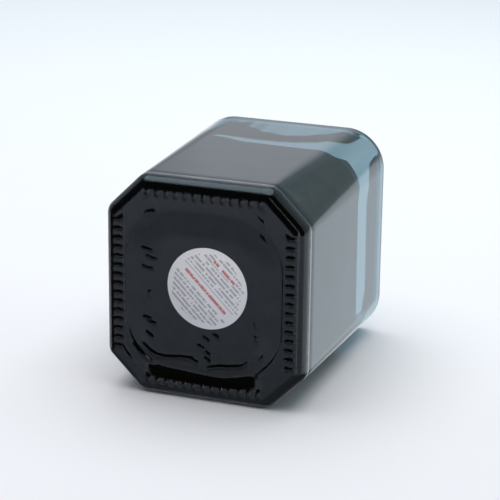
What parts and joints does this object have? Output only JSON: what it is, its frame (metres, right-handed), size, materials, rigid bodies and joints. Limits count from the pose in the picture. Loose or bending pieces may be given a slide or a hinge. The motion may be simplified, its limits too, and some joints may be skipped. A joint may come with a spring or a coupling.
{
  "type": "jar candle",
  "caption": "Rounded-square smoky glass jar, two thirds full of dark wax, with one wick and a round paper label under its ribbed base.",
  "frame": {"origin": "middle of the plane that the base's moulded ribs stand on", "axes": "+Z from the base to the mouth, X across the narrow pair of sides, Y across the wide pair"},
  "size_m": [0.08, 0.086, 0.101],
  "materials": {
    "smoky_glass": "polished smoky blue-grey container glass",
    "dark_wax": "smooth charcoal candle wax",
    "cotton_braid": "braided cotton, lightly waxed",
    "wick_paper": "twisted paper cord, plain",
    "tab_steel": "bright tinned sheet",
    "pad_glue": "soft cream glue pad",
    "label_paper": null
  },
  "bodies": {
    "root": {"glass_jar": "smoky_glass", "wax_fill": "dark_wax", "wick_braid": "cotton_braid", "wick_core": "wick_paper", "wick_tab": "tab_steel", "glue_pad": "pad_glue", "base_label": "label_paper"}
  },
  "joints": []
}
